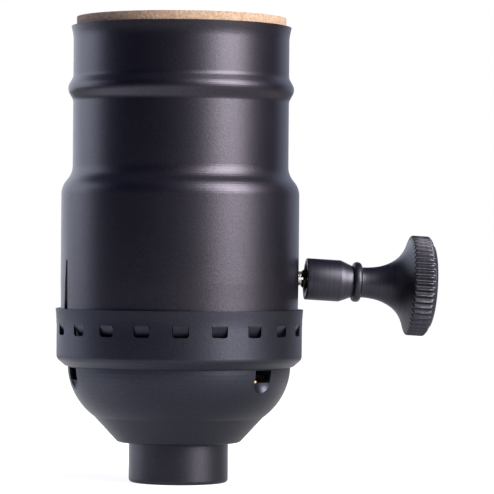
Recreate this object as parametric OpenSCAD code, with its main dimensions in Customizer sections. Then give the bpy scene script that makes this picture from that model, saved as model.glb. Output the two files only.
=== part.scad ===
// Turn knob lamp socket for a screw-base lamp, millimetres, +Z up.
// Origin: centre of the hub's lower face. The knob points along +X and droops a little.
// Outlines are corner lists with a radius at each corner (see round_path), and every piece of
// sheet metal or card is one such outline given a thickness (see sheet).

/* [Lamp screw shell] */
// Thread pitch, seven to the inch
lamp_pitch = 3.629; // [3.5:0.001:3.7]
// Mean inner radius of the thread
lamp_r = 13; // [12.8:0.05:13.2]
// Depth of the thread to each side of the mean
lamp_wave = 0.42; // [0.3:0.02:0.5]
// Thickness of the screw shell
lamp_t = 0.35; // [0.25:0.05:0.4]
// Depth of the screw shell's lip below the outer shell's rim
lamp_down = 3.4; // [1:0.1:7]
// Width of the screw shell's floor, from the thread inwards
lamp_floor_w = 4; // [3:0.1:5]

/* [Card liners] */
// Clearance between the screw shell and the liner
liner_in_gap = 1.03; // [0.3:0.01:1.5]
// Thickness of the shell liner
liner_t = 0.6; // [0.3:0.05:0.8]
// How far the liner stands out of the shell
liner_up = 1.35; // [0:0.05:3]
// How far the liner is spread at its top
liner_flare = 0.06; // [0:0.01:0.1]
// Half the angle of the liner's open seam
seam_half = 0.1; // [0.05:0.05:1]
// Direction of the seam
seam_at = -97.5; // [-180:0.5:180]
// Thickness of the cap liner
cap_liner_t = 0.4; // [0.3:0.05:0.6]
// Height of the cap liner's edge above the dome's vents
cap_liner_up = 0.7; // [0:0.05:1.2]
// Number of tabs cut in the cap liner's edge
cap_liner_tabs = 12; // [6:1:16]
// Depth of the cuts between the tabs, and their width at the bottom and the top
cap_liner_cut = [4.5, 0.8, 3.5];

/* [Outer shell] */
// Thickness of the shell and cap metal
sheet_t = 0.4; // [0.3:0.05:0.6]
// Clearance between liner and shell
liner_gap = 0.1; // [0.05:0.01:0.5]
// Step from the upper to the lower barrel
step_out = 1.64; // [1:0.01:3]
// Height of the upper rim
shell_z1 = 67; // [60:0.1:75]
// Height of the middle of the shoulder between the barrels
shoulder_z = 44.4; // [43:0.1:47]
// Half the height of the sloping part of the shoulder
shoulder_half = 1; // [0.5:0.05:1.5]
// Radius of both bends of the shoulder
shoulder_bend = 3.1; // [1:0.1:3.4]
// Distance of the middle of the bead from the rim
bead_down = 9.15; // [6:0.05:12]
// Half the height of the bead
bead_half = 1.7; // [1:0.1:3]
// How far the bead stands out
bead_out = 0.74; // [0.3:0.05:1.2]
// How far the upper rim is flared
lip_out = 0.32; // [0:0.02:0.6]
// Height of the flared rim
lip_h = 1.5; // [0.5:0.1:2]
// Height and depth of the snap groove under the cap
groove = [3.6, 0.8];
// How much narrower the shell is under the cap
foot_in = 0.07; // [0:0.01:0.2]

/* [Openings of the shell] */
// Width of the gap all round the shaft
slot_gap = 2.05; // [1:0.05:3]
// How far the side slits reach above the cap
slit_up = 7.2; // [3:0.1:12]
// Outer edge of each side slit, from the middle of the tongue
slit_edge = 5.1; // [4:0.1:7]
// Width of each slit at its top and at the shell's lower edge
slit_w = [0.7, 2.5];

/* [Cap] */
// Clearance between the shell and the cap wall
cap_gap = 0.15; // [0.1:0.01:0.4]
// How far the cap's rim is flared
cap_flare = 0.16; // [0:0.05:1]
// Height of the flared rim
cap_flare_h = 1.9; // [1:0.1:3]
// Height of the cap rim above the ledge's foot
cap_wall_h = 8.75; // [7:0.05:11]
// Height of the foot of the sloping ledge that carries the switch body
ledge_z = 16.75; // [16:0.05:19]
// Width and rise of the ledge
ledge_w = 1.7; // [1.4:0.05:2.5]
ledge_rise = 1.45; // [1:0.05:2]
// Radius of the dome's curve
dome_bend = 9.6; // [8:0.1:12]
// Height of the curved part of the dome
dome_h = 7.15; // [6:0.05:9]
// Number of snap tongues in the cap wall
tooth_n = 20; // [8:1:30]
// Direction of the first tongue
tooth_at = -94.1; // [-180:0.1:180]
// Width and height of the opening of a tongue
tooth_win = [2.4, 1.7];
// Height of the lower edge of these openings above the ledge
tooth_up = 4.95; // [3:0.05:6]
// Lean of the tongues
tooth_lean = 28; // [5:1:30]
// Corner radius of these openings
tooth_corner = 0.45; // [0.1:0.05:0.8]
// Number of vents in the dome
vent_n = 3; // [1:1:6]
// Direction of the first vent
vent_at = -46.5; // [-180:0.5:180]
// Width and height of a vent
vent_win = [3.4, 1.8];
// Depth of a vent's lower edge below the ledge
vent_down = 1.6; // [1:0.05:3]
// Depth to which the metal under a vent is pressed in
dent_in = 0.65; // [0.3:0.05:1]
// Gap between the cap and its liner besides that depth
dent_gap = 0.15; // [0.1:0.01:0.3]

/* [Hub] */
// Height of the hub under the cap
hub_h = 5.9; // [5:0.1:8]
// Bore radius, tap drill of the one-eighth pipe thread
hub_bore_r = 4.57; // [4.3:0.01:5]
// Thickness of the hub's wall
hub_wall = 2.75; // [2:0.05:4]
// Thickness of the neck staked through the cap
hub_neck_t = 1.03; // [0.6:0.01:1.5]
// Width and thickness of the staked rim
hub_stake = [1, 0.6];
// Width of the cap's flat bottom outside the hub
cap_flat_w = 1.7; // [1:0.01:3]
// Set screw radius
set_r = 1.75; // [1.4:0.05:2]

/* [Knob and shaft] */
// Droop of the shaft from level
shaft_droop = 3.2; // [0:0.1:4]
// Height of the shaft axis above the cap's rim, where it leaves the shell
shaft_up = 4.62; // [4:0.01:6]
// Shaft radius
shaft_r = 1.05; // [0.9:0.05:1.5]
// How much thicker the shaft's threaded end is
thread_out = 0.3; // [0.1:0.01:0.6]
// Running clearance of the shaft in its bearings
run_gap = 0.05; // [0.02:0.01:0.1]
// Clearance between parts that are fixed together
fit_gap = 0.02; // [0.01:0.01:0.05]
// Gap between the shell and the knob
knob_gap = 1.16; // [1:0.01:6]
// Length of the knob's grip cylinder, of the cone after it, and of the throat and horn
knob_l = [5.1, 1.85, 7.1];
// Radius of the grip cylinder
grip_r = 3.07; // [2.5:0.01:4]
// Width and height of the ring behind the horn
ring = [1.3, 0.5];
// Radius of the knob's throat
throat_r = 2.24; // [1.9:0.01:3]
// Radius of the knurled rim
rim_r = 7.42; // [6:0.01:10]
// Width of the knurled rim
rim_w = 2.7; // [2:0.1:4]
// Number of knurl teeth
knurl_n = 50; // [36:2:60]
// Depth of the knurl
knurl_d = 0.38; // [0.1:0.05:0.5]
// Length of the horn's curve along the knob's axis
horn_l = 5.9; // [4:0.1:6.5]
// Width of the rim outside the front boss, and height of the boss
boss = [1, 0.7];
// Depth of the hole for the shaft
socket_l = 6.8; // [4:0.1:9]

/* [Switch body] */
// Clearance between the moulded bodies and the liner
body_gap = 0.6; // [0.2:0.05:1]
// Clearance and thickness of the lower body's flange
flange = [0.3, 1.8];
// Distance from the shaft axis to the top of the upper body
body_up = 9.9; // [9:0.01:12]
// Depth of the terminal flats in the bodies
flat_in = 3.6; // [3:0.1:4.5]
// Half the width of the terminal flats
flat_half = 5.5; // [5:0.1:6.5]
// Thickness of the chamber's front wall, and of its sides at the terminal flats
wall = [5, 4.6];
// Length of the shaft's inner bearing
bearing_l = 2.6; // [2:0.1:4]
// How much deeper the chamber reaches below the shaft axis than to its sides, and above it
chamber_extra = [0.4, -0.3];
// Thickness of contact metal
contact_t = 0.4; // [0.3:0.05:0.6]
// Thickness of the terminal straps
strap_t = 0.6; // [0.4:0.05:1]
// Thickness of the detent spring
spring_t = 0.3; // [0.2:0.05:0.4]
// Radii of the body screws' heads and shanks
body_screw_r = [2, 1.2];
// Length of the body screws
body_screw_l = 19; // [15:0.5:21]

/* [Contacts and terminals] */
// Height of the terminal screws above the seat of the body
terminal_up = 7; // [6:0.1:8]
// Radius of the terminal screws' shanks
terminal_r = 1.4; // [1.2:0.05:1.6]
// Width of the terminal plates, and their reach below and above the screw
plate = [8.4, 4.4, 6];
// Width of the contact blades
blade_w = 3; // [2:0.1:3.6]
// Half the height of the blades in the chamber
blade_half = 3.6; // [3:0.1:4]
// Radius of the contact rivet
rivet_r = 0.8; // [0.6:0.05:1]
// Radius of the screw shell's rivets
shell_rivet_r = 0.9; // [0.7:0.05:1.1]
// Depth of the screw shell's rivets in the upper body
shell_rivet_l = 3.8; // [3:0.1:5]
// Distance of the contact rivet from the chamber, and of the pivot from the rivet
rivet_in = [1.2, 2.6];
// Distance of the tongue's free end from the far edge of the screw shell's hole
tongue_back = 1.7; // [1:0.1:3]

/* [Switch rotor] */
// Distance of the cam's flats from the shaft axis, as a share of the chamber's half width
cam_share = 0.667; // [0.6:0.001:0.7]
// How far the cam's corners stand out over its flats
cam_rise = 0.5; // [0.2:0.1:0.8]
// Lengths of the cam and of the round part of the rotor
rotor_l = [3.4, 2.1];
// Clearance and thickness of the rotating contact between the fixed blades
wiper = [0.35, 1];
// Wall of the spacer tube on the shaft
spacer_t = 1.15; // [0.8:0.05:2]
// Play of the shaft along its axis
end_play = 0.2; // [0.15:0.05:0.4]

/* [Hidden] */
$fn = 72;
eps = 0.01;
// From the lamp outwards: each radius is the last one plus a thickness and a clearance
liner_r = lamp_r + lamp_wave + lamp_t + liner_in_gap + liner_t;
neck_r = liner_r + liner_gap + sheet_t;
barrel_r = neck_r + step_out;
foot_r = barrel_r - foot_in;
cap_r = barrel_r + cap_gap + sheet_t;
cap_rim_r = cap_r + cap_flare;
dome_r = cap_r - ledge_w;
flange_r = foot_r - sheet_t - flange[0];
body_r = liner_r - liner_t - body_gap;
flat_y = body_r - flat_in;
lamp_hole_r = lamp_r - lamp_floor_w;
rivet_at_r = lamp_r - 0.6 * lamp_floor_w;
// Hub radii
hub_r = hub_bore_r + hub_wall;
hub_neck_r = hub_bore_r + hub_neck_t;
stake_r = hub_neck_r + hub_stake[0];
cone_foot = [hub_r + cap_flat_w, hub_h];
// Heights that follow from the cap
ledge_slope = ledge_rise / ledge_w;
seat_z = ledge_in(flange_r) + fit_gap;
cap_z1 = ledge_z + cap_wall_h;
cap_flare_z = cap_z1 - cap_flare_h;
shell_z0 = ledge_in(foot_r) + 0.12;
groove_z = [seat_z + flange[1] + 0.2, seat_z + flange[1] + 0.2 + groove[0]];
slit_top = cap_z1 + slit_up;
tooth_z = ledge_z + tooth_up;
vent_z = ledge_z - vent_down;
cap_liner_z1 = vent_z + cap_liner_up;
bead_z = shell_z1 - bead_down;
liner_z1 = shell_z1 + liner_up;
lamp_z1 = shell_z1 - lamp_down;
// Height of the shaft axis where it leaves the shell, and on the socket's own axis
shaft_exit_z = cap_z1 + shaft_up;
shaft_z = shaft_exit_z + barrel_r * tan(shaft_droop);
thread_r = shaft_r + thread_out;
slot_r = shaft_r + slot_gap;
body_z1 = shaft_z + body_up;
// Chamber of the switch
chamber_half = flat_y - wall[1];
floor_z = shaft_z - chamber_half - chamber_extra[0];
ceil_z = shaft_z + chamber_half + chamber_extra[1];
// Rotor on the shaft, from the clip outwards
cam_flat = cam_share * chamber_half;
cam_r = cam_flat + cam_rise;
clip_t = shaft_r / 2;
rotor_u = [-rotor_l[0] - rotor_l[1] - wiper[1] / 2, -rotor_l[1] - wiper[1] / 2, -wiper[1] / 2];
chamber_x = [rotor_u[0] - 1, body_r - wall[0]];
wiper_r = chamber_half - contact_t - wiper[0];
spacer_r = shaft_r + spacer_t;
// Body screws: distance from the axis along X and Y
body_screw = (body_r - body_screw_r[0] - 0.04) * [1, -1] / sqrt(2);
// Terminals, contact rivet and pivot of the centre contact
terminal_z = seat_z + terminal_up;
rivet_y = -(chamber_half + rivet_in[0]);
tongue_w = blade_w + rivet_r;
tongue_l = lamp_hole_r - tongue_back;
flex_y = rivet_y + rivet_in[1];
flex_z = body_z1 + 1.5 * contact_t;
flex_slope = 34;
// Where the dome's curve has its centre: tangent to the vertical a little above the ledge
dome_c = [dome_r + 0.03 - dome_bend, ledge_z + 0.65];
cone_z = ledge_z - dome_h;
// Knob, measured from its inner face
knob_u0 = barrel_r + knob_gap;
ring_r = throat_r + ring[1] + 0.22;
ring_u = [knob_l[0] + knob_l[1], knob_l[0] + knob_l[1] + ring[0]];
rim_u = ring_u[1] + knob_l[2];
front_u = rim_u + rim_w + 0.3;
boss_r = rim_r - boss[0];
horn_u = rim_u - 0.45 - horn_l;
horn_w = rim_r - 0.34 - throat_r;

// Outlines.

// Unit vector
function unit(v) = v / norm(v);

// Arc that rounds the corner p between a and b with radius r
function corner_arc(a, p, b, r, steps = 6) =
    let (u = unit(a - p), v = unit(b - p), half = acos(max(-1, min(1, u * v))) / 2)
    r <= 0 || half > 89.5 ? [p] :
    let (c = p + unit(u + v) * r / sin(half),
         s = p + u * r / tan(half) - c,
         e = p + v * r / tan(half) - c,
         a0 = atan2(s[1], s[0]),
         turn = atan2(s[0] * e[1] - s[1] * e[0], s * e))
    [for (i = [0:steps]) c + r * [cos(a0 + turn * i / steps), sin(a0 + turn * i / steps)]];

// Open outline through corners [x, y, radius]
function round_path(k, steps = 6) =
    let (n = len(k), p = [for (c = k) [c[0], c[1]]])
    [for (i = [0:n - 1])
        each (i == 0 || i == n - 1 ? [p[i]] : corner_arc(p[i - 1], p[i], p[i + 1], k[i][2], steps))];

// Arc about c from angle a0 to a1
function arc(c, r, a0, a1, steps) =
    [for (i = [0:steps]) c + r * [cos(a0 + (a1 - a0) * i / steps), sin(a0 + (a1 - a0) * i / steps)]];

// The same outline moved sideways by d, to the left of its direction
function shifted(p, d) =
    let (n = len(p))
    [for (i = [0:n - 1])
        let (u = unit(p[min(i + 1, n - 1)] - p[max(i - 1, 0)])) p[i] + d * [-u[1], u[0]]];

function reversed(p) = [for (i = [len(p) - 1:-1:0]) p[i]];

// Closed outline of sheet of thickness t on the left of an open outline
function sheet(p, t) = concat(p, reversed(shifted(p, t)));

// Height of the inner face of the sloping ledge at radius r
function ledge_in(r) =
    ledge_z + sheet_t * norm([1, ledge_slope]) + (r - dome_r) * ledge_slope;

// Outer faces of the formed metal, from the bottom up
shell_face = round_path([
    [foot_r, shell_z0],
    [foot_r, groove_z[0], 0.5],
    [foot_r - groove[1], groove_z[0] + 0.7, 0.5],
    [foot_r - groove[1], groove_z[1] - 0.7, 0.5],
    [foot_r, groove_z[1], 0.5],
    [foot_r + 0.02, cap_z1, 1],
    [barrel_r, cap_z1 + 4, 20],
    [barrel_r, shoulder_z - shoulder_half, shoulder_bend],
    [neck_r, shoulder_z + shoulder_half, shoulder_bend],
    [neck_r, bead_z - bead_half, 1.4],
    [neck_r + bead_out * 1.3, bead_z, 1.5],
    [neck_r, bead_z + bead_half, 1.4],
    [neck_r, shell_z1 - lip_h, 6],
    [neck_r + lip_out, shell_z1]]);

// Where the dome's curve ends, as an angle
dome_end = asin((cone_z - dome_c[1]) / dome_bend);

cap_face = concat(
    round_path([
        [hub_neck_r + fit_gap, cone_foot[1]],
        [cone_foot[0], cone_foot[1], 0.8],
        dome_c + dome_bend * [cos(dome_end), sin(dome_end)]], 4),
    arc(dome_c, dome_bend, dome_end + 4, -2, 12),
    round_path([
        dome_c + dome_bend * [1, 0.015],
        [dome_r + 0.02, ledge_z, 0.3],
        [cap_r, ledge_z + ledge_rise, 1],
        [cap_r, cap_flare_z, 25],
        [cap_rim_r, cap_z1]], 5));

// Placing.

// Puts local +Z along the shaft, outwards
module on_shaft(u = 0) {
    translate([0, 0, shaft_z]) rotate([0, 90 + shaft_droop, 0]) translate([0, 0, u]) children();
}

// Puts local +X outwards in direction a
module facing(a) {
    rotate([0, 0, a]) children();
}

// Flat plate standing across X: outline in (Y, Z), thickness outwards from x
module wall_plate(x, t) {
    translate([x, 0, 0]) rotate([90, 0, 90]) linear_extrude(t) children();
}

// Copies on both sides of the XZ plane
module both_sides() {
    children();
    mirror([0, 1, 0]) children();
}

// Here and turned half round
module and_opposite() {
    children();
    rotate([0, 0, 180]) children();
}

// Shell and liners.

// Slot for the shaft, open downwards, cut along the shaft
module shaft_slot(r, reach) {
    on_shaft(0) cylinder(r = r, h = reach);
    translate([0, -r, seat_z - 1]) cube([reach, 2 * r, shaft_exit_z - seat_z + 1]);
}

// One of the two slits beside the tongue
module side_slit() {
    wall_plate(-barrel_r - 2, 2 + 6 * sheet_t)
        polygon([[slit_edge, shell_z0 - 1], [slit_edge, slit_top - 0.2],
                 [slit_edge - 0.2, slit_top], [slit_edge - slit_w[0] + 0.15, slit_top],
                 [slit_edge - slit_w[0], slit_top - 0.3], [slit_edge - slit_w[1], shell_z0 - 1]]);
}

module outer_shell() {
    color("DimGray") difference() {
        rotate_extrude($fn = 144) polygon(sheet(shell_face, sheet_t));
        shaft_slot(slot_r, barrel_r + 3);
        both_sides() side_slit();
    }
}

module shell_liner() {
    color("Tan") difference() {
        rotate_extrude($fn = 144) polygon(sheet([
            [liner_r, seat_z + flange[1]], [liner_r, shell_z1 - lip_h / 2],
            [liner_r + liner_flare, liner_z1]], liner_t));
        shaft_slot(slot_r - 0.5, barrel_r + 3);
        facing(seam_at) translate([liner_r - 2 * liner_t, -liner_r * sin(seam_half), seat_z])
            cube([4 * liner_t, 2 * liner_r * sin(seam_half), liner_z1]);
    }
}

// Cap.

// Opening sheared out of the cap wall, rounded at its lower corners
module tooth_opening() {
    w = tooth_win[0] / 2;
    c = tooth_corner;
    wall_plate(cap_r - 3 * sheet_t, 6 * sheet_t) translate([0, tooth_z])
        polygon(concat([[-w, tooth_win[1]]], arc([c - w, c], c, 180, 270, 4),
                       arc([w - c, c], c, 270, 360, 4), [[w, tooth_win[1]]]));
}

// The tongue sheared from that opening, bent in at its top to catch the shell's groove
module snap_tooth() {
    w = tooth_win[0] - 0.2;
    l = tooth_win[1] - 0.15;
    down = [-sin(tooth_lean), -cos(tooth_lean)];
    out = [cos(tooth_lean), -sin(tooth_lean)];
    translate([cap_r - sheet_t, w / 2, tooth_z + tooth_win[1]]) rotate([90, 0, 0])
        linear_extrude(w) polygon(concat([[0, 0.3], [sheet_t, 0.3]],
            arc([0, 0], sheet_t, 0, -tooth_lean, 4),
            [sheet_t * out + l * down, l * down, [0, 0]]));
}

// Vent in the dome
module vent_opening() {
    wall_plate(dome_r - 2.2, 3.2)
        translate([-vent_win[0] / 2, vent_z]) square(vent_win);
}

// Ball that presses the metal in under a vent; grown by d
module dent_ball(d) {
    r = (pow(vent_win[0] / 2, 2) + pow(dent_in, 2)) / 2 / dent_in;
    translate([dome_r - 0.42 - dent_in + r, 0, vent_z - 0.35]) sphere(r = r + d, $fn = 64);
}

// The pressed metal: a bowl as thick as the sheet, inside the dome and under the vent
module dent() {
    foot_z = vent_z - 6;
    intersection() {
        difference() {
            dent_ball(sheet_t);
            dent_ball(0);
        }
        rotate_extrude($fn = 144)
            polygon(concat([[0, foot_z]],
                           [for (p = shifted(cap_face, sheet_t / 2))
                               if (p[1] > foot_z && p[1] < vent_z) p],
                           [[0, vent_z]]));
    }
}

module cap_shell() {
    color("SlateGray") {
        difference() {
            rotate_extrude($fn = 144) polygon(sheet(cap_face, sheet_t));
            for (i = [0:tooth_n - 1]) facing(tooth_at + i * 360 / tooth_n) tooth_opening();
            for (i = [0:vent_n - 1]) facing(vent_at + i * 360 / vent_n) {
                vent_opening();
                dent_ball(0);
            }
        }
        for (i = [0:vent_n - 1]) facing(vent_at + i * 360 / vent_n) dent();
        for (i = [0:tooth_n - 1]) facing(tooth_at + i * 360 / tooth_n) snap_tooth();
    }
}

module cap_liner() {
    inner = [for (p = shifted(cap_face, sheet_t + dent_in + dent_gap))
        if (p[1] < cap_liner_z1 && p[0] > stake_r + 0.8) p];
    color("Tan") difference() {
        rotate_extrude($fn = 96) polygon(sheet(inner, cap_liner_t));
        for (i = [0:cap_liner_tabs - 1]) facing(vent_at + 3 + i * 360 / cap_liner_tabs)
            wall_plate(0.6 * dome_r, dome_r)
                polygon([[-cap_liner_cut[1] / 2, cap_liner_z1 - cap_liner_cut[0]],
                         [cap_liner_cut[1] / 2, cap_liner_z1 - cap_liner_cut[0]],
                         [0.74 * cap_liner_cut[2], cap_liner_z1 + 1],
                         [-0.26 * cap_liner_cut[2], cap_liner_z1 + 1]]);
    }
}

// Hub.

module cap_hub() {
    color("DimGray") difference() {
        rotate_extrude($fn = 96) polygon(concat(
            round_path([[hub_bore_r, 0.3], [hub_bore_r + 0.3, 0, 0], [hub_r, 0, 0.5],
                        [hub_r, cone_foot[1]]], 4),
            [[hub_neck_r, cone_foot[1]], [hub_neck_r, cone_foot[1] + sheet_t],
             [stake_r, cone_foot[1] + sheet_t],
             [stake_r - 0.3, cone_foot[1] + sheet_t + hub_stake[1]],
             [hub_bore_r, cone_foot[1] + sheet_t + hub_stake[1]]]));
        translate([0, 0, hub_h / 2]) rotate([-90, 0, 0])
            cylinder(r = set_r + fit_gap, h = hub_r + 2);
    }
}

module hub_set_screw() {
    set_l = hub_wall + 0.25;
    color("Gray") translate([0, hub_r + 0.45 - set_l, hub_h / 2]) rotate([-90, 0, 0]) difference() {
        union() {
            cylinder(r1 = set_r - 0.5, r2 = set_r, h = 0.5, $fn = 48);
            translate([0, 0, 0.5]) cylinder(r = set_r, h = set_l - 0.5, $fn = 48);
        }
        translate([-set_r - 1, -0.25, set_l - 0.8]) cube([2 * set_r + 2, 0.5, 2]);
    }
}

// Moulded bodies.

// Cut-outs that the two moulded bodies share
module body_cuts() {
    // chamber of the switch
    translate([chamber_x[0], -chamber_half, floor_z])
        cube([chamber_x[1] - chamber_x[0], 2 * chamber_half, ceil_z - floor_z]);
    // bearings of the shaft
    on_shaft(chamber_x[0] - bearing_l) cylinder(r = shaft_r + run_gap, h = 2 * body_r, $fn = 48);
    // flats for the terminals
    both_sides() translate([-flat_half, flat_y, seat_z - 1])
        cube([2 * flat_half, 2 * flat_in, body_z1 - seat_z + 2]);
    // body screws, in from below
    and_opposite() translate([body_screw[0], body_screw[1], seat_z - eps]) {
        cylinder(r = body_screw_r[1] + fit_gap, h = body_screw_l + 1, $fn = 32);
        cylinder(r = body_screw_r[0] + fit_gap, h = flange[1], $fn = 32);
    }
    // arm of the live terminal
    translate([-blade_w / 2 - fit_gap, chamber_half - 1, shaft_z - contact_t - fit_gap])
        cube([blade_w + 2 * fit_gap, wall[1] + 3, contact_t + fit_gap + eps]);
}

module switch_base() {
    color("Black") difference() {
        union() {
            translate([0, 0, seat_z]) cylinder(r = flange_r, h = flange[1]);
            translate([0, 0, seat_z]) cylinder(r = body_r, h = shaft_z - seat_z);
        }
        body_cuts();
        both_sides() translate([0, flat_y, terminal_z]) rotate([90, 0, 0])
            translate([0, 0, -1]) cylinder(r = terminal_r + fit_gap, h = wall[1] - 0.2, $fn = 32);
        // room for the wires
        translate([0, 0, seat_z - eps])
            cylinder(r1 = chamber_half + 0.5, r2 = chamber_half - 0.5, h = flange[1] + 0.6);
    }
}

module upper_body() {
    color("Black") difference() {
        translate([0, 0, shaft_z]) cylinder(r = body_r, h = body_z1 - shaft_z);
        body_cuts();
        // way up for the outgoing contact
        translate([-blade_w / 2 - fit_gap, -chamber_half, ceil_z - 1])
            cube([blade_w + 2 * fit_gap, contact_t + fit_gap, body_z1]);
        translate([0, -chamber_half, body_z1]) rotate([45, 0, 0])
            cube([blade_w + 2 * fit_gap, 1.5 * contact_t, 1.5 * contact_t], center = true);
        // rebate for the neutral strap's tab
        translate([-blade_w - fit_gap, -flat_y - 1, body_z1 - strap_t])
            cube([2 * blade_w + 2 * fit_gap, 3 * strap_t, 2]);
        // holes of the rivets
        translate([0, rivet_y, body_z1 - 3]) cylinder(r = rivet_r + fit_gap, h = 4, $fn = 32);
        and_opposite() rotate([0, 0, 45]) translate([rivet_at_r, 0, body_z1 - shell_rivet_l - 0.2])
            cylinder(r = shell_rivet_r + fit_gap, h = shell_rivet_l + 1, $fn = 32);
    }
}

module body_screws() {
    color("Silver") and_opposite() translate([body_screw[0], body_screw[1], seat_z]) difference() {
        union() {
            translate([0, 0, 0.2]) cylinder(r = body_screw_r[0], h = flange[1] - 0.2 - eps, $fn = 48);
            cylinder(r = body_screw_r[1], h = body_screw_l, $fn = 48);
        }
        translate([-body_screw_r[0] - 1, -0.3, -1]) cube([2 * body_screw_r[0] + 2, 0.6, 1.9]);
    }
}

// Lamp screw shell.

// The sheet follows a meridian from the hole in the floor up the wall, and a wave that climbs
// one pitch per turn moves the wall in and out. This range of heights has the full wave.
wave_z = [body_z1 + 1.6, lamp_z1 - 1.3];
wall_rows = 38;
around = 32;

// Share of the full wave at height z: runs out over half a pitch at both ends
function wave_share(z) =
    let (a = max(0, min(1, (z - wave_z[0]) / (lamp_pitch / 2))),
         b = max(0, min(1, (wave_z[1] - z) / (lamp_pitch / 2))))
    min(a, b);

// Meridian [radius, height] of the inner face, without the wave
meridian = concat(
    [[lamp_hole_r, body_z1 + lamp_t]],
    arc([lamp_r - 0.8, body_z1 + lamp_t + 0.8], 0.8, 270, 345, 3),
    [for (i = [0:wall_rows])
        let (z = wave_z[0] + (wave_z[1] - wave_z[0]) * i / wall_rows,
             run = max(0, 1 - (wave_z[1] - z) / (lamp_pitch / 2)))
        [lamp_r + lamp_wave * run, z]],
    [[lamp_r + lamp_wave, lamp_z1]]);

// Point of the inner (d = 0) or outer (d = lamp_t) face
function shell_point(i, a, d) =
    let (m = meridian[i],
         u = unit(meridian[min(i + 1, len(meridian) - 1)] - meridian[max(i - 1, 0)]),
         r = m[0] + d * u[1] + lamp_wave * wave_share(m[1]) * cos(a - 360 * m[1] / lamp_pitch))
    [r * cos(a), r * sin(a), m[1] - d * u[0]];

module threaded_sheet() {
    n = len(meridian);
    pts = [for (d = [0, lamp_t]) for (i = [0:n - 1]) for (k = [0:around - 1])
        shell_point(i, k * 360 / around, d)];
    function at(s, i, k) = (s * n + i) * around + k % around;
    quads = concat(
        [for (i = [0:n - 2]) for (k = [0:around - 1])
            [at(0, i, k), at(0, i, k + 1), at(0, i + 1, k + 1), at(0, i + 1, k)]],
        [for (i = [0:n - 2]) for (k = [0:around - 1])
            [at(1, i, k), at(1, i + 1, k), at(1, i + 1, k + 1), at(1, i, k + 1)]],
        [for (k = [0:around - 1]) [at(0, 0, k), at(1, 0, k), at(1, 0, k + 1), at(0, 0, k + 1)]],
        [for (k = [0:around - 1])
            [at(0, n - 1, k), at(0, n - 1, k + 1), at(1, n - 1, k + 1), at(1, n - 1, k)]]);
    polyhedron(pts, [for (q = quads) each [[q[0], q[1], q[2]], [q[0], q[2], q[3]]]]);
}

module screw_shell() {
    color("Goldenrod") difference() {
        threaded_sheet();
        and_opposite() rotate([0, 0, 45]) translate([rivet_at_r, 0, body_z1 - 1])
            cylinder(r = shell_rivet_r + fit_gap, h = 3, $fn = 32);
    }
}

module shell_rivets() {
    color("Silver") and_opposite() rotate([0, 0, 45]) translate([rivet_at_r, 0, body_z1]) {
        translate([0, 0, -shell_rivet_l])
            cylinder(r = shell_rivet_r, h = shell_rivet_l + 1.7 * lamp_t, $fn = 32);
        translate([0, 0, lamp_t + fit_gap])
            cylinder(r1 = 1.5 * shell_rivet_r, r2 = 1.1 * shell_rivet_r, h = 0.5, $fn = 32);
    }
}

// Contacts and terminals.

// Strip of width w bent along an outline in (Y, Z)
module bent_strip(p, w, t) {
    rotate([90, 0, 90]) translate([0, 0, -w / 2]) linear_extrude(w) polygon(sheet(p, t));
}

// Blade in the chamber that runs up through the upper body to the contact rivet
module out_contact() {
    y = -chamber_half + contact_t;
    color("Gold") difference() {
        bent_strip(round_path([[y, shaft_z - blade_half],
                               [y, body_z1 + contact_t, contact_t + 0.2],
                               [rivet_y - rivet_in[0], body_z1 + contact_t]], 3),
                   blade_w, contact_t);
        rivet_hole();
    }
}

module rivet_hole() {
    translate([0, rivet_y, body_z1 - 1]) cylinder(r = rivet_r + fit_gap, h = 3, $fn = 32);
}

module contact_anchor() {
    color("Gold") difference() {
        translate([-tongue_w / 2, rivet_y - rivet_in[0], body_z1 + contact_t])
            cube([tongue_w, rivet_in[0] + rivet_in[1] - contact_t / 2 - 0.1, contact_t]);
        rivet_hole();
    }
}

module contact_rivet() {
    color("Silver") translate([0, rivet_y, body_z1]) {
        translate([0, 0, -2.8]) cylinder(r = rivet_r, h = 2.8 + 2 * contact_t + 0.2, $fn = 32);
        translate([0, 0, 2 * contact_t]) cylinder(r1 = rivet_r + 0.35, r2 = rivet_r, h = 0.5, $fn = 32);
    }
}

// Springy tongue, rounded about its pivot so that it can bend down
module centre_contact() {
    rise = 0.56 * tongue_l * [cos(flex_slope), sin(flex_slope)];
    face = round_path([[0, 0], [rise[0], rise[1], 1.5], [tongue_l - 0.7, rise[1] + 0.05, 0.8],
                       [tongue_l, rise[1] - 0.5]], 4);
    color("Gold") translate([0, flex_y, flex_z]) {
        rotate([0, 90, 0]) translate([0, 0, -tongue_w / 2])
            cylinder(r = contact_t / 2, h = tongue_w, $fn = 24);
        bent_strip(shifted(face, -contact_t / 2), tongue_w, contact_t);
    }
}

// Plate of a terminal on its flat, with its screw hole, on the side s = 1 or -1
module terminal_plate(s) {
    difference() {
        translate([-plate[0] / 2, s > 0 ? flat_y : -flat_y - strap_t, terminal_z - plate[1]])
            cube([plate[0], strap_t, plate[1] + plate[2]]);
        terminal_hole(s);
    }
}

module terminal_hole(s) {
    translate([0, s * flat_y, terminal_z]) rotate([90, 0, 0])
        translate([0, 0, -2]) cylinder(r = terminal_r + fit_gap, h = 4, $fn = 32);
}

module hot_terminal() {
    color("Gold") {
        terminal_plate(1);
        translate([-blade_w / 2, chamber_half - contact_t, shaft_z - contact_t])
            cube([blade_w, wall[1] + contact_t + strap_t, contact_t]);
        translate([-blade_w / 2, chamber_half - contact_t, shaft_z - blade_half])
            cube([blade_w, contact_t, 2 * blade_half]);
        translate([-blade_w / 2, flat_y, terminal_z + plate[2] - 1])
            cube([blade_w, strap_t, shaft_z - terminal_z - plate[2] + 1]);
    }
}

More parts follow.
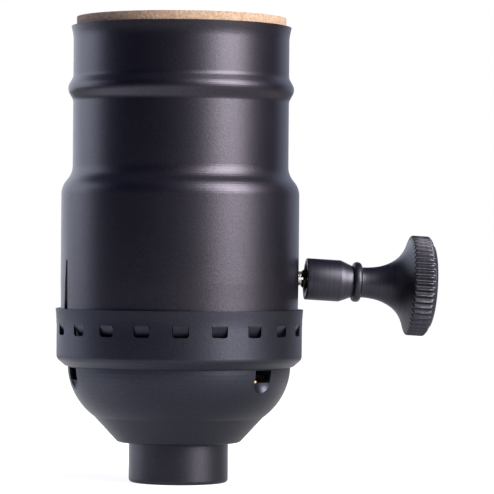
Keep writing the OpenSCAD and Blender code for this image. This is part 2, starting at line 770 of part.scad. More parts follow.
module neutral_strap() {
    color("Silver") difference() {
        union() {
            terminal_plate(-1);
            translate([-blade_w, -flat_y - strap_t, terminal_z])
                cube([2 * blade_w, strap_t, body_z1 - terminal_z]);
            translate([-blade_w, -flat_y - strap_t, body_z1 - strap_t])
                cube([2 * blade_w, 2.3 * strap_t, strap_t]);
        }
        terminal_hole(-1);
    }
}

// Binding-head terminal screw on the +Y flat
module terminal_screw() {
    head_r = 2.4 * terminal_r;
    translate([0, flat_y + strap_t, terminal_z]) rotate([-90, 0, 0]) difference() {
        union() {
            translate([0, 0, -wall[1] + 1]) cylinder(r = terminal_r, h = wall[1] - 0.6, $fn = 48);
            rotate_extrude($fn = 64) polygon(concat(
                [[0, 0]], round_path([[head_r - 0.8, 0], [head_r, 0.35, 0.1], [head_r, 1.5, 0.5],
                                      [head_r - 1.4, 1.9, 3], [0, 1.95]], 4)));
        }
        translate([-head_r - 1, -0.4, 0.95]) cube([2 * head_r + 2, 0.8, 2]);
    }
}

module hot_screw() {
    color("Gold") terminal_screw();
}

module neutral_screw() {
    color("Silver") mirror([0, 1, 0]) terminal_screw();
}

// Bridge of spring strip under the cam
module detent_spring() {
    top = shaft_z - cam_r - spring_t - 0.28;
    color("Silver") translate([(rotor_u[0] + rotor_u[1]) / 2, 0, 0])
        bent_strip(round_path([[-chamber_half + 0.1, floor_z],
                               [-0.83 * chamber_half, floor_z, 0.5],
                               [-0.57 * chamber_half, top, 0.8],
                               [0.57 * chamber_half, top, 0.8],
                               [0.83 * chamber_half, floor_z, 0.5],
                               [chamber_half - 0.1, floor_z]], 3),
                   0.76 * rotor_l[0], spring_t);
}

// Knob, shaft and rotor.

// Knob profile [radius, distance from its inner face], outer side
knob_side = concat(
    round_path([
        [grip_r - 0.15, 0],
        [grip_r, 0.15, 0.05],
        [grip_r, knob_l[0], 0.15],
        [throat_r + 0.1, ring_u[0] - 0.1, 0],
        [throat_r + 0.1, ring_u[0], 0],
        [ring_r, ring_u[0], 0.55],
        [ring_r, ring_u[1], 0.55],
        [throat_r, ring_u[1] + 0.05, 0.1],
        [throat_r, horn_u]], 5),
    [for (a = [6:6:90]) [throat_r + horn_w * (1 - cos(a)), horn_u + horn_l * sin(a)]],
    round_path([
        [rim_r - 0.3, rim_u - 0.45],
        [rim_r, rim_u - 0.1, 0.15],
        [rim_r, rim_u + rim_w - 0.1, 0.2],
        [rim_r - 0.45, front_u, 0.1],
        [boss_r, front_u, 0.05],
        [boss_r, front_u + boss[1], 0.65],
        [0, front_u + boss[1] + 0.05]], 5));

// Straight knurl as a ring of V teeth
module knurl_outline() {
    polygon([for (i = [0:2 * knurl_n - 1])
        let (a = i * 180 / knurl_n, r = rim_r + 0.02 - (i % 2) * knurl_d)
        r * [cos(a), sin(a)]]);
}

module knob() {
    color("DarkSlateGray") on_shaft(knob_u0) difference() {
        rotate_extrude($fn = 96) polygon(concat([[0, 0]], knob_side));
        // socket for the threaded end, countersunk
        translate([0, 0, -1]) cylinder(r = thread_r + fit_gap, h = socket_l + 1, $fn = 48);
        translate([0, 0, -eps]) cylinder(r1 = grip_r - 0.75, r2 = thread_r, h = 0.8, $fn = 48);
        // knurl
        translate([0, 0, rim_u - 0.7]) difference() {
            cylinder(r = rim_r + 2, h = rim_w + 1.35);
            translate([0, 0, -1]) linear_extrude(rim_w + 4) knurl_outline();
        }
    }
}

// The shaft's outer end is slit, so that it grips in the knob
module switch_shaft() {
    color("Silver") difference() {
        whole_shaft();
        on_shaft(barrel_r - 1.4) translate([-0.16, -3, 0]) cube([0.32, 6, 12]);
    }
}

module whole_shaft() {
    u0 = chamber_x[0] - bearing_l + 0.4;
    on_shaft(u0) cylinder(r = shaft_r, h = knob_u0 - 0.7 - u0, $fn = 48);
    on_shaft(knob_u0 - 0.7) cylinder(r1 = shaft_r, r2 = thread_r, h = 0.3, $fn = 48);
    on_shaft(knob_u0 - 0.4) cylinder(r = thread_r, h = socket_l, $fn = 48);
}

module rotor() {
    color("SaddleBrown") on_shaft(0) difference() {
        union() {
            translate([0, 0, rotor_u[0]]) intersection() {
                cylinder(r = cam_r, h = rotor_u[1] - rotor_u[0]);
                translate([-cam_flat, -cam_flat, 0])
                    cube([2 * cam_flat, 2 * cam_flat, rotor_u[1] - rotor_u[0]]);
            }
            translate([0, 0, rotor_u[1]]) cylinder(r = 0.92 * cam_flat, h = rotor_l[1]);
        }
        translate([0, 0, rotor_u[0] - 1])
            cylinder(r = shaft_r + fit_gap, h = rotor_l[0] + rotor_l[1] + 2, $fn = 48);
    }
}

// Disc with two opposite lobes; it bridges the blades when the lobes stand level
module rotor_contact() {
    color("Gold") on_shaft(rotor_u[2]) difference() {
        union() {
            cylinder(r = 0.85 * cam_flat, h = wiper[1]);
            intersection() {
                cylinder(r = wiper_r, h = wiper[1]);
                translate([-wiper_r, -blade_w / 2 - 0.1, 0])
                    cube([2 * wiper_r, blade_w + 0.2, wiper[1]]);
            }
        }
        translate([0, 0, -1]) cylinder(r = shaft_r + fit_gap, h = 4, $fn = 48);
    }
}

module shaft_spacer() {
    u0 = rotor_u[2] + wiper[1];
    color("Tan") on_shaft(u0) difference() {
        cylinder(r = spacer_r, h = chamber_x[1] - end_play - u0, $fn = 48);
        translate([0, 0, -1]) cylinder(r = shaft_r + fit_gap, h = body_r, $fn = 48);
    }
}

module retaining_clip() {
    color("Silver") on_shaft(rotor_u[0] - clip_t) difference() {
        cylinder(r = 2 * shaft_r, h = clip_t, $fn = 48);
        translate([0, 0, -1]) cylinder(r = shaft_r + fit_gap, h = 3, $fn = 48);
        translate([-0.7, 0, -1]) cube([1.4, 3 * shaft_r, 3]);
    }
}

outer_shell();
shell_liner();
cap_shell();
cap_liner();
cap_hub();
hub_set_screw();
switch_base();
upper_body();
body_screws();
screw_shell();
shell_rivets();
contact_anchor();
contact_rivet();
centre_contact();
out_contact();
hot_terminal();
hot_screw();
neutral_strap();
neutral_screw();
detent_spring();
knob();
switch_shaft();
rotor();
rotor_contact();
shaft_spacer();
retaining_clip();
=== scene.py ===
import math

import bpy
from mathutils import Matrix, Vector


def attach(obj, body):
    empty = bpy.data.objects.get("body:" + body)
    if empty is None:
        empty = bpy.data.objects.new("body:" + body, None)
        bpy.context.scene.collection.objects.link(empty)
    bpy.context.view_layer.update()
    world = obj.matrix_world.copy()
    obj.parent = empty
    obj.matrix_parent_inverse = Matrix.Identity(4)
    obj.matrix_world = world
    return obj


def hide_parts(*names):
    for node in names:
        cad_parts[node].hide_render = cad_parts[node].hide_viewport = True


# The turn knob lamp socket: studio, materials and the pieces too fine for the CAD.
# Metres, +Z up along the socket's axis, knob along +X.

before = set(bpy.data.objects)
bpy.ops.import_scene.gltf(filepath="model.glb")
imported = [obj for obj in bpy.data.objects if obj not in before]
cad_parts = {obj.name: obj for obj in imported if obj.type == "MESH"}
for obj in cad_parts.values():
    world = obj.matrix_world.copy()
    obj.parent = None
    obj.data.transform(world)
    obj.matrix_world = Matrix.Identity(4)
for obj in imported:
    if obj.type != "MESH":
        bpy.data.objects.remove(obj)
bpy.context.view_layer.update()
scene = bpy.context.scene
mm = 0.001


def say(text):
    print("scene: " + text)


view = {
    # degrees round from the front, more is nearer the knob; roll is about the line of sight
    "azimuth": -6.0, "roll": 0.45,
    "distance": 438 * mm, "height": 34.7 * mm, "right": 9.88 * mm, "nearest": 10 * mm,
    # lens and film, in millimetres
    "lens": 216.4, "film": 36.0,
}


def makeCamera(s):
    a = math.radians(s["azimuth"])
    back = Vector((math.sin(a), -math.cos(a), 0))
    side = Vector((math.cos(a), math.sin(a), 0))
    data = bpy.data.cameras.new("camera")
    data.lens = s["lens"]
    data.sensor_width = s["film"]
    data.clip_start = s["nearest"]
    camera = bpy.data.objects.new("camera", data)
    turn = Matrix.Rotation(a, 4, "Z") @ Matrix.Rotation(math.pi / 2, 4, "X")
    turn = turn @ Matrix.Rotation(math.radians(s["roll"]), 4, "Z")
    place = back * s["distance"] + side * s["right"] + Vector((0, 0, s["height"]))
    camera.matrix_world = Matrix.Translation(place) @ turn
    scene.collection.objects.link(camera)
    scene.camera = camera


makeCamera(view)
scene.view_settings.view_transform = "Standard"
say("camera")

studio = {
    "floorSize": 4.0, "floorRough": 0.8,
    # the floor's tone by the distance from the axis, as shares of floorReach: darker near the
    # axis, a painted shade under the socket, and darker again far off
    "floorReach": 0.30,
    "floorTone": ((0.0, 0.36), (0.10, 0.40), (0.24, 0.66), (0.60, 0.24), (1.0, 0.20)),
    # how bright the floor shows itself to the camera, at the axis and from floorFar on
    "floorLift": (0.85, 1.0), "floorFar": 0.7,
    # painted reflection: how bright the floor glows to glossy rays alone, by the distance
    # from a place beside the object, as shares of mirrorReach
    "mirrorAt": (-55 * mm, 25 * mm, 0), "mirrorReach": 0.15,
    "mirror": ((0.0, 1.0), (0.22, 0.95), (0.46, 0.26), (0.62, 0.24), (1.0, 0.02)),
    "ambient": (0.016, 0.022, 0.110, 1),
    "aim": (0, 0, 35 * mm),
    # the azimuth is from the camera; the size is the width and the height of the lamp
    "lamps": {
        "key": {"azimuth": 53.5, "distance": 0.60, "height": 0.34, "size": (0.41, 0.55),
                "power": 12.2, "color": (1.0, 0.92, 0.85)},
        "side": {"azimuth": -110, "distance": 0.62, "height": 0.12, "size": (0.36, 0.55),
                 "power": 1.8, "color": (0.90, 0.94, 1.0)},
        "rimRight": {"azimuth": 150, "distance": 0.55, "height": 0.08, "size": (0.45, 0.6),
                     "power": 0.75, "color": (0.80, 0.86, 1.0)},
        "rimLeft": {"azimuth": -150, "distance": 0.55, "height": 0.08, "size": (0.45, 0.6),
                    "power": 1.5, "color": (0.88, 0.93, 1.0)},
        "top": {"azimuth": 0, "distance": 0, "height": 0.75, "size": (1.0, 1.0),
                "power": 0.4, "color": (1, 1, 1)},
    },
}


def addMath(tree, kind, a, b):
    node = tree.nodes.new("ShaderNodeMath")
    node.operation = kind
    for socket, value in zip(node.inputs, (a, b)):
        if isinstance(value, (int, float)):
            socket.default_value = value
        else:
            tree.links.new(value, socket)
    return node.outputs[0]


def addRange(tree, value, start, end, low=0.0, high=1.0):
    # Low where the value is at the start, high where it is at the end
    node = tree.nodes.new("ShaderNodeMapRange")
    names = ("From Min", "From Max", "To Min", "To Max")
    for name, number in zip(names, (start, end, low, high)):
        node.inputs[name].default_value = number
    tree.links.new(value, node.inputs["Value"])
    return node.outputs["Result"]


def addRamp(tree, value, reach, stops):
    # A soft run of greys over shares of a reach
    ramp = tree.nodes.new("ShaderNodeValToRGB")
    ramp.color_ramp.interpolation = "EASE"
    marks = ramp.color_ramp.elements
    while len(marks) < len(stops):
        marks.new(0.5)
    for mark, (place, bright) in zip(marks, stops):
        mark.position = place
        mark.color = (bright, bright, bright, 1)
    tree.links.new(addMath(tree, "DIVIDE", value, reach), ramp.inputs[0])
    return ramp.outputs["Color"]


def addDistance(tree, point, place):
    node = tree.nodes.new("ShaderNodeVectorMath")
    node.operation = "DISTANCE"
    node.inputs[1].default_value = place
    tree.links.new(point, node.inputs[0])
    return node.outputs["Value"]


def makeLamps(s):
    for name, lamp in s["lamps"].items():
        a = math.radians(view["azimuth"] + lamp["azimuth"])
        away = lamp["distance"]
        place = Vector((away * math.sin(a), -away * math.cos(a), lamp["height"]))
        data = bpy.data.lights.new(name, "AREA")
        data.shape = "RECTANGLE"
        data.size, data.size_y = lamp["size"]
        data.energy = lamp["power"]
        data.color = lamp["color"]
        piece = bpy.data.objects.new(name, data)
        piece.location = place
        piece.rotation_euler = (Vector(s["aim"]) - place).to_track_quat("-Z", "Y").to_euler()
        scene.collection.objects.link(piece)


def makeFloor(s):
    bpy.ops.mesh.primitive_plane_add(size=s["floorSize"], location=(0, 0, 0))
    floor = bpy.context.object
    floor.name = "floor"
    material = bpy.data.materials.new("floor")
    material.use_nodes = True
    tree = material.node_tree
    bsdf = tree.nodes["Principled BSDF"]
    bsdf.inputs["Roughness"].default_value = s["floorRough"]
    bsdf.inputs["Emission Color"].default_value = (1, 1, 1, 1)
    path = tree.nodes.new("ShaderNodeLightPath")
    point = tree.nodes.new("ShaderNodeTexCoord").outputs["Object"]

    away = addDistance(tree, point, (0, 0, 0))
    # Painted shade: the floor's colour is darker round the socket's foot
    tone = addRamp(tree, away, s["floorReach"], s["floorTone"])
    tree.links.new(tone, bsdf.inputs["Base Color"])

    lift = addRange(tree, away, 0, s["floorFar"], *s["floorLift"])
    seen = addMath(tree, "MULTIPLY", lift, path.outputs["Is Camera Ray"])
    # Painted reflection: the floor glows only to glossy rays, brightest in a ring beside the
    # object
    beside = addDistance(tree, point, s["mirrorAt"])
    reflectionGlow = addRamp(tree, beside, s["mirrorReach"], s["mirror"])
    paintedReflection = addMath(tree, "MULTIPLY", reflectionGlow, path.outputs["Is Glossy Ray"])
    tree.links.new(addMath(tree, "ADD", seen, paintedReflection), bsdf.inputs["Emission Strength"])

    # From below the floor can't be seen, so the underside of the socket shows
    faces = tree.nodes.new("ShaderNodeNewGeometry")
    clear = tree.nodes.new("ShaderNodeBsdfTransparent")
    either = tree.nodes.new("ShaderNodeMixShader")
    tree.links.new(faces.outputs["Backfacing"], either.inputs[0])
    tree.links.new(bsdf.outputs[0], either.inputs[1])
    tree.links.new(clear.outputs[0], either.inputs[2])
    tree.links.new(either.outputs[0], tree.nodes["Material Output"].inputs["Surface"])
    floor.data.materials.append(material)


def makeWorld(s):
    # White to the camera, dim blue to everything else
    world = bpy.data.worlds.new("studio")
    scene.world = world
    world.use_nodes = True
    tree = world.node_tree
    tree.nodes.clear()
    path = tree.nodes.new("ShaderNodeLightPath")
    mix = tree.nodes.new("ShaderNodeMixShader")
    tree.links.new(path.outputs["Is Camera Ray"], mix.inputs[0])
    for slot, color in ((1, s["ambient"]), (2, (1, 1, 1, 1))):
        shade = tree.nodes.new("ShaderNodeBackground")
        shade.inputs["Color"].default_value = color
        shade.inputs["Strength"].default_value = 1
        tree.links.new(shade.outputs[0], mix.inputs[slot])
    out = tree.nodes.new("ShaderNodeOutputWorld")
    tree.links.new(mix.outputs[0], out.inputs["Surface"])


makeLamps(studio)
makeFloor(studio)
makeWorld(studio)
say("studio")


def newGroup(name, inputs, outputs):
    group = bpy.data.node_groups.new(name, "ShaderNodeTree")
    sockets = group.interface
    sockets.new_socket(name="Vector", in_out="INPUT", socket_type="NodeSocketVector")
    for key, value in inputs.items():
        socket = sockets.new_socket(name=key, in_out="INPUT", socket_type="NodeSocketFloat")
        socket.default_value = value
    for key in outputs:
        sockets.new_socket(name=key, in_out="OUTPUT", socket_type="NodeSocketFloat")
    return group, group.nodes.new("NodeGroupInput"), group.nodes.new("NodeGroupOutput")


def addNoise(tree, vector, scale, detail=3.0, rough=0.55):
    noise = tree.nodes.new("ShaderNodeTexNoise")
    noise.inputs["Detail"].default_value = detail
    noise.inputs["Roughness"].default_value = rough
    tree.links.new(vector, noise.inputs["Vector"])
    tree.links.new(scale, noise.inputs["Scale"])
    return noise.outputs["Fac"]


def makeGrainGroup():
    # Fine grain of a plated or moulded face: a height, and a slow cloud for gloss
    group, start, end = newGroup("grain", {"Fine": 9000.0, "Cloud": 120.0}, ["Height", "Cloudy"])
    fine = addNoise(group, start.outputs["Vector"], start.outputs["Fine"], detail=2.0)
    cloud = addNoise(group, start.outputs["Vector"], start.outputs["Cloud"])
    group.links.new(fine, end.inputs["Height"])
    group.links.new(cloud, end.inputs["Cloudy"])
    return group


def makeLinesGroup():
    # Fine parallel lines of a lathe or brush: noise drawn out across the X direction
    group, start, end = newGroup("lines", {"Scale": 900.0, "Across": 0.01}, ["Height"])
    split = group.nodes.new("ShaderNodeSeparateXYZ")
    join = group.nodes.new("ShaderNodeCombineXYZ")
    group.links.new(start.outputs["Vector"], split.inputs[0])
    group.links.new(split.outputs["X"], join.inputs["X"])
    for axis in "YZ":
        drawn = addMath(group, "MULTIPLY", split.outputs[axis], start.outputs["Across"])
        group.links.new(drawn, join.inputs[axis])
    noise = addNoise(group, join.outputs[0], start.outputs["Scale"], detail=4.0, rough=0.7)
    group.links.new(noise, end.inputs["Height"])
    return group


grainGroup = makeGrainGroup()
linesGroup = makeLinesGroup()
say("shared effects")

# How far the shaft and the knob hang down
droop = math.radians(3.2)

# What every look has unless it says otherwise
usual = {
    "metallic": 0.0, "turn": (0, 0, 0), "lineShare": 0.7, "toneBy": "cloud",
    "toneFrom": (0.35, 0.65), "roughSpread": 0.03, "bumpDepth": 0.00004,
}

# Colours in linear values; fine, cloud and lines are scales of noise per metre
looks = {
    "shellPlating": {"color": (0.047, 0.0455, 0.059), "color2": (0.057, 0.055, 0.071),
                     "metallic": 1.0, "rough": 0.39, "fine": 3600, "cloud": 160, "bump": 0.3,
                     "toneBy": "height"},
    "capPlating": {"color": (0.036, 0.039, 0.054), "color2": (0.044, 0.047, 0.064),
                   "metallic": 1.0, "rough": 0.42, "fine": 3600, "cloud": 160, "bump": 0.3,
                   "toneBy": "height"},
    "hubPlating": {"color": (0.042, 0.042, 0.054), "color2": (0.050, 0.050, 0.064),
                   "metallic": 1.0, "rough": 0.38, "fine": 3600, "cloud": 200, "bump": 0.25,
                   "toneBy": "height"},
    # the values of the mesh's crest mark between which the painted highlight on the crests sets
    # in
    "knobPlating": {"color": (0.045, 0.046, 0.060), "color2": (0.062, 0.063, 0.081),
                    "metallic": 1.0, "rough": 0.44, "fine": 7000, "cloud": 300, "bump": 0.35,
                    "bumpDepth": 0.00003, "toneBy": "height",
                    "lines": 2600, "lineShare": 0.85, "turn": (0, -droop, 0),
                    "crestHighlightColor": (0.46, 0.43, 0.41), "crestHighlightFrom": (0.84, 1.32)},
    "card": {"color": (0.32, 0.215, 0.150), "color2": (0.45, 0.34, 0.255),
             "rough": 0.85, "fine": 2600, "cloud": 260, "bump": 0.6,
             "bumpDepth": 0.00012, "toneBy": "height"},
    "capCard": {"color": (0.74, 0.52, 0.32), "color2": (0.84, 0.64, 0.44),
                "rough": 0.8, "fine": 2600, "cloud": 260, "bump": 0.5, "bumpDepth": 0.0001},
    "phenolic": {"color": (0.016, 0.014, 0.013), "color2": (0.026, 0.022, 0.020),
                 "rough": 0.38, "fine": 3500, "cloud": 200, "bump": 0.2},
    "brownMoulding": {"color": (0.10, 0.035, 0.018), "color2": (0.14, 0.05, 0.026),
                      "rough": 0.42, "fine": 3500, "cloud": 200, "bump": 0.2},
    "fibre": {"color": (0.28, 0.07, 0.035), "color2": (0.36, 0.10, 0.05),
              "rough": 0.7, "fine": 3000, "cloud": 300, "bump": 0.3},
    "threadMetal": {"color": (0.72, 0.66, 0.52), "color2": (0.80, 0.74, 0.60),
                    "metallic": 1.0, "rough": 0.28, "fine": 5000, "cloud": 150, "bump": 0.1},
    "brass": {"color": (0.72, 0.50, 0.20), "color2": (0.80, 0.58, 0.27),
              "metallic": 1.0, "rough": 0.30, "fine": 5000, "cloud": 260, "bump": 0.15,
              "lines": 3000, "lineShare": 0.5},
    "nickel": {"color": (0.60, 0.56, 0.50), "color2": (0.70, 0.66, 0.60),
               "metallic": 1.0, "rough": 0.26, "fine": 5000, "cloud": 260, "bump": 0.1},
    "springSteel": {"color": (0.34, 0.34, 0.36), "color2": (0.42, 0.42, 0.44),
                    "metallic": 1.0, "rough": 0.32, "fine": 5000, "cloud": 260, "bump": 0.15,
                    "lines": 3000},
    # the places along X between which the shaft turns dark, a painted shadow of the knob
    "shaftSteel": {"color": (0.56, 0.54, 0.50), "color2": (0.68, 0.65, 0.60),
                   "metallic": 1.0, "rough": 0.27, "fine": 6000, "cloud": 400, "bump": 0.15,
                   "lines": 4000, "turn": (0, -droop, 0),
                   "paintedShadeColor": (0.030, 0.030, 0.022), "paintedShadeFrom": (17.9 * mm, 18.2 * mm)},
    "zincSteel": {"color": (0.56, 0.54, 0.50), "color2": (0.68, 0.65, 0.60),
                  "metallic": 1.0, "rough": 0.27, "fine": 6000, "cloud": 400, "bump": 0.15,
                  "lines": 4000},
}
wears = {
    "outer_shell": "shellPlating", "cap_shell": "capPlating", "cap_hub": "hubPlating",
    "shell_liner": "card", "cap_liner": "capCard", "knob": "knobPlating",
    "switch_base": "phenolic", "upper_body": "phenolic", "rotor": "brownMoulding",
    "shaft_spacer": "fibre", "screw_shell": "threadMetal",
    "centre_contact": "brass", "contact_anchor": "brass", "out_contact": "brass",
    "hot_terminal": "brass", "hot_screw": "brass", "rotor_contact": "brass",
    "neutral_strap": "nickel", "neutral_screw": "nickel", "contact_rivet": "nickel",
    "shell_rivets": "nickel", "detent_spring": "springSteel", "retaining_clip": "springSteel",
    "switch_shaft": "shaftSteel", "body_screws": "zincSteel", "hub_set_screw": "zincSteel",
}


def addGroup(tree, group, vector, values):
    node = tree.nodes.new("ShaderNodeGroup")
    node.node_tree = group
    tree.links.new(vector, node.inputs["Vector"])
    for key, value in values.items():
        node.inputs[key].default_value = value
    return node.outputs


def addMix(tree, share, first, second):
    # Sockets 6 and 7 are the two colours, and output 2 is their mix
    node = tree.nodes.new("ShaderNodeMix")
    node.data_type = "RGBA"
    tree.links.new(share, node.inputs[0])
    for slot, color in ((6, first), (7, second)):
        if isinstance(color, tuple):
            node.inputs[slot].default_value = (*color, 1)
        else:
            tree.links.new(color, node.inputs[slot])
    return node.outputs[2]


def makeMaterial(name, look):
    s = usual | look
    material = bpy.data.materials.new(name)
    material.use_nodes = True
    tree = material.node_tree
    bsdf = tree.nodes["Principled BSDF"]
    bsdf.inputs["Metallic"].default_value = s["metallic"]

    coords = tree.nodes.new("ShaderNodeTexCoord")
    mapping = tree.nodes.new("ShaderNodeMapping")
    mapping.inputs["Rotation"].default_value = s["turn"]
    tree.links.new(coords.outputs["Object"], mapping.inputs["Vector"])
    turned = mapping.outputs["Vector"]

    grain = addGroup(tree, grainGroup, turned, {"Fine": s["fine"], "Cloud": s["cloud"]})
    height, cloudy = grain["Height"], grain["Cloudy"]
    if "lines" in s:
        share = s["lineShare"]
        lines = addGroup(tree, linesGroup, turned, {"Scale": s["lines"]})
        height = addMath(tree, "ADD", addMath(tree, "MULTIPLY", height, 1 - share),
                         addMath(tree, "MULTIPLY", lines["Height"], share))

    tone = addRange(tree, height if s["toneBy"] == "height" else cloudy, *s["toneFrom"])
    baseColor = addMix(tree, tone, s["color"], s["color2"])
    if "crestHighlightColor" in s:
        # Painted highlight: lighter in patches along the crests that the mesh marks
        marked = tree.nodes.new("ShaderNodeAttribute")
        marked.attribute_name = "crest"
        edge = addRange(tree, marked.outputs["Fac"], *s["crestHighlightFrom"])
        patch = addMath(tree, "MULTIPLY", edge, cloudy)
        baseColor = addMix(tree, patch, baseColor, s["crestHighlightColor"])
    if "paintedShadeColor" in s:
        # Painted shade: the shaft is dark beyond a place along X, where it runs into the knob's
        # shadow
        place = tree.nodes.new("ShaderNodeSeparateXYZ")
        tree.links.new(coords.outputs["Object"], place.inputs[0])
        past = addRange(tree, place.outputs["X"], *s["paintedShadeFrom"])
        baseColor = addMix(tree, past, baseColor, s["paintedShadeColor"])
    tree.links.new(baseColor, bsdf.inputs["Base Color"])

    low, high = s["rough"] - s["roughSpread"], s["rough"] + s["roughSpread"]
    tree.links.new(addRange(tree, cloudy, 0, 1, low, high), bsdf.inputs["Roughness"])

    bump = tree.nodes.new("ShaderNodeBump")
    bump.inputs["Strength"].default_value = s["bump"]
    bump.inputs["Distance"].default_value = s["bumpDepth"]
    tree.links.new(height, bump.inputs["Height"])
    tree.links.new(bump.outputs["Normal"], bsdf.inputs["Normal"])
    return material


materials = {name: makeMaterial(name, look) for name, look in looks.items()}
for node, look in wears.items():
    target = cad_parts[node]
    for slot in target.material_slots:
        slot.material = materials[look]
    if not target.material_slots:
        target.data.materials.append(materials[look])
say("materials")


def gridMesh(name, rows, closed=True):
    # A skin over rows of points, each a ring; closed joins the last row to the first
    count = len(rows[0])
    points = [tuple(p) for row in rows for p in row]
    faces = []
    for i in range(len(rows) if closed else len(rows) - 1):
        j = (i + 1) % len(rows)
        for k in range(count):
            n = (k + 1) % count
            faces.append((i * count + k, i * count + n, j * count + n, j * count + k))
    mesh = bpy.data.meshes.new(name)
    mesh.from_pydata(points, [], faces)
    mesh.validate()
    mesh.polygons.foreach_set("use_smooth", [True] * len(mesh.polygons))
    piece = bpy.data.objects.new(name, mesh)
    scene.collection.objects.link(piece)
    return piece


# From here on the sizes in each piece's dictionary are in millimetres
lampShell = {
    "radius": 13.0, "thick": 0.35, "floor": 41.0, "lip": 63.6, "hole": 9.0,
    # the bend from the floor into the wall, and how far round it goes in degrees
    "bend": 0.8, "bendTurn": 75, "bendSteps": 8,
    # the rolled thread, and how far it keeps from the floor and the lip
    "pitch": 3.629, "wave": 0.42, "above": 1.6, "below": 1.3,
    "around": 120, "perPitch": 16,
}


def makeLampShell(s):
    # The same sheet as the CAD's screw shell, with finer facets
    low, high = s["floor"] + s["above"], s["lip"] - s["below"]
    halfPitch = s["pitch"] / 2
    meridian = [(s["hole"], s["floor"] + s["thick"])]
    for i in range(s["bendSteps"] + 1):
        a = math.radians(270 + s["bendTurn"] * i / s["bendSteps"])
        meridian.append((s["radius"] - s["bend"] + s["bend"] * math.cos(a),
                         s["floor"] + s["thick"] + s["bend"] + s["bend"] * math.sin(a)))
    steps = int((high - low) / s["pitch"] * s["perPitch"])
    for i in range(steps + 1):
        z = low + (high - low) * i / steps
        flare = max(0, 1 - (high - z) / halfPitch)
        meridian.append((s["radius"] + s["wave"] * flare, z))
    meridian.append((s["radius"] + s["wave"], s["lip"]))

    def share(z):
        # How much of the wave a height has: it runs out over half a pitch at both ends
        return max(0, min(1, (z - low) / halfPitch, (high - z) / halfPitch))

    def ring(i, depth):
        # One point of the meridian, set in by a depth along its normal and turned round
        r, z = meridian[i]
        r0, z0 = meridian[max(i - 1, 0)]
        r1, z1 = meridian[min(i + 1, len(meridian) - 1)]
        span = math.hypot(r1 - r0, z1 - z0)
        u, v = (r1 - r0) / span, (z1 - z0) / span
        row = []
        for k in range(s["around"]):
            a = 2 * math.pi * k / s["around"]
            q = r + depth * v + s["wave"] * share(z) * math.cos(a - 2 * math.pi * z / s["pitch"])
            row.append((q * mm * math.cos(a), q * mm * math.sin(a), (z - depth * u) * mm))
        return row

    inside = [ring(i, 0) for i in range(len(meridian))]
    outside = [ring(i, s["thick"]) for i in range(len(meridian))]
    piece = gridMesh("lampShell", inside + outside[::-1])
    piece.data.materials.append(materials["threadMetal"])
    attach(piece, "socket")
    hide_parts("screw_shell")


makeLampShell(lampShell)

hubThread = {
    "radius": 4.585, "depth": 0.26, "pitch": 0.941, "from": 0.5, "to": 6.5, "around": 48,
    # half the foot as a share of the pitch, and the crest as a share of the foot
    "foot": 0.42, "crest": 0.25,
    # steps over which the thread rises at each end
    "rise": 12,
}


def makeHubThread(s):
    # Crests of the pipe thread, standing in from the hub's plain bore
    steps = int((s["to"] - s["from"]) / s["pitch"] * s["around"])
    half = s["pitch"] * s["foot"]
    crest = half * s["crest"]
    rows = []
    for i in range(steps + 1):
        a = 2 * math.pi * i / s["around"]
        z = s["from"] + s["pitch"] * i / s["around"]
        depth = s["depth"] * min(1, i / s["rise"], (steps - i) / s["rise"])
        row = []
        for inward, dz in ((0, -half), (depth, -crest), (depth, crest), (0, half)):
            q = (s["radius"] - inward) * mm
            row.append((q * math.cos(a), q * math.sin(a), (z + dz) * mm))
        rows.append(row)
    piece = gridMesh("hubThread", rows, closed=False)
    piece.data.materials.append(materials["hubPlating"])
    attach(piece, "socket")


makeHubThread(hubThread)

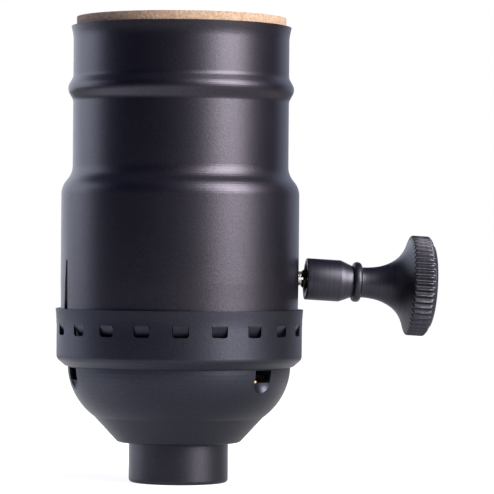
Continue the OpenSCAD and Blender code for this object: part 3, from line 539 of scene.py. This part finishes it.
knobTurned = {
    # where the shaft's line crosses the socket's axis, and the knob's inner face along it
    "shaftHeight": 31.1006, "start": 18.7,
    # radius and place along the shaft of the bore, its mouth and the grip, up to the ring
    "grip": ((0, 6.8), (1.37, 6.8), (1.37, 0.74), (2.32, 0), (2.92, 0), (3.03, 0.04),
             (3.07, 0.15), (3.07, 2.5), (3.07, 5.02), (3.05, 5.13), (2.71, 5.98),
             (2.34, 6.85), (2.34, 6.95)),
    "ring": {"radius": 2.96, "from": 6.95, "to": 8.25, "corner": 0.55, "cornerSteps": 6},
    "horn": ((2.26, 8.29), (2.24, 8.4), (2.25, 8.9), (2.29, 9.5), (2.37, 10.15),
             (2.50, 10.85), (2.71, 11.55), (2.98, 12.2), (3.30, 12.8), (3.68, 13.35),
             (4.14, 13.85), (4.68, 14.28), (5.28, 14.65), (5.92, 14.95), (6.56, 15.2),
             (7.12, 15.39), (7.32, 15.48), (7.42, 15.6)),
    # the rim, and the boss in front of it
    "rim": ((7.42, 16.4), (7.42, 17.2), (7.42, 17.92), (7.33, 18.06), (6.97, 18.35),
            (6.45, 18.36), (6.42, 18.39), (6.34, 18.62), (6.1, 18.84), (5.6, 18.98),
            (4.5, 19.05), (0, 19.1)),
    # teeth are cut beyond a place along the shaft; the shape is a power, less is rounder
    "teeth": 50, "toothDepth": 0.40, "toothShape": 0.8, "perTooth": 8, "teethFrom": 14.65,
    # degrees between two faces from which their edge stays sharp
    "sharpFrom": 60,
}


def makeKnob(s):
    # The CAD's knob with a fuller horn and rounded teeth
    ring = s["ring"]
    corner = ring["corner"]
    side = list(s["grip"])
    for middle, start in ((ring["from"] + corner, -90), (ring["to"] - corner, 0)):
        for i in range(ring["cornerSteps"] + 1):
            a = math.radians(start + 90 * i / ring["cornerSteps"])
            side.append((ring["radius"] - corner + corner * math.cos(a),
                         middle + corner * math.sin(a)))
    side += s["horn"] + s["rim"]
    along = Vector((math.cos(droop), 0, -math.sin(droop)))
    up = Vector((math.sin(droop), 0, math.cos(droop)))
    across = Vector((0, 1, 0))
    origin = Vector((0, 0, s["shaftHeight"]))
    rimRadius = s["rim"][0][0]
    around = s["teeth"] * s["perTooth"]
    rows = []
    crest = []
    for radius, u in side:
        row = []
        for k in range(around):
            a = 2 * math.pi * k / around
            groove = (0.5 - 0.5 * math.cos(s["teeth"] * a)) ** s["toothShape"]
            cut = rimRadius - s["toothDepth"] * groove
            r = min(radius, cut) if u > s["teethFrom"] else radius
            crest.append(1 - groove if radius > rimRadius - s["toothDepth"] else 0)
            row.append((origin + along * (s["start"] + u) + up * (r * math.cos(a))
                        + across * (r * math.sin(a))) * mm)
        rows.append(row)
    piece = gridMesh("knobTurned", rows, closed=False)
    piece.data.attributes.new("crest", "FLOAT", "POINT").data.foreach_set("value", crest)
    piece.data.set_sharp_from_angle(angle=math.radians(s["sharpFrom"]))
    piece.data.materials.append(materials["knobPlating"])
    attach(piece, "knob_group")
    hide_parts("knob")


makeKnob(knobTurned)
say("pieces")

# The same angle for the nodes that come from the CAD
sharpFrom = {"knob": 24, "others": 32}


def smoothFaces(target, angle):
    mesh = target.data
    mesh.polygons.foreach_set("use_smooth", [True] * len(mesh.polygons))
    mesh.set_sharp_from_angle(angle=math.radians(angle))


for node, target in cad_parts.items():
    smoothFaces(target, sharpFrom.get(node, sharpFrom["others"]))
say("smooth faces")
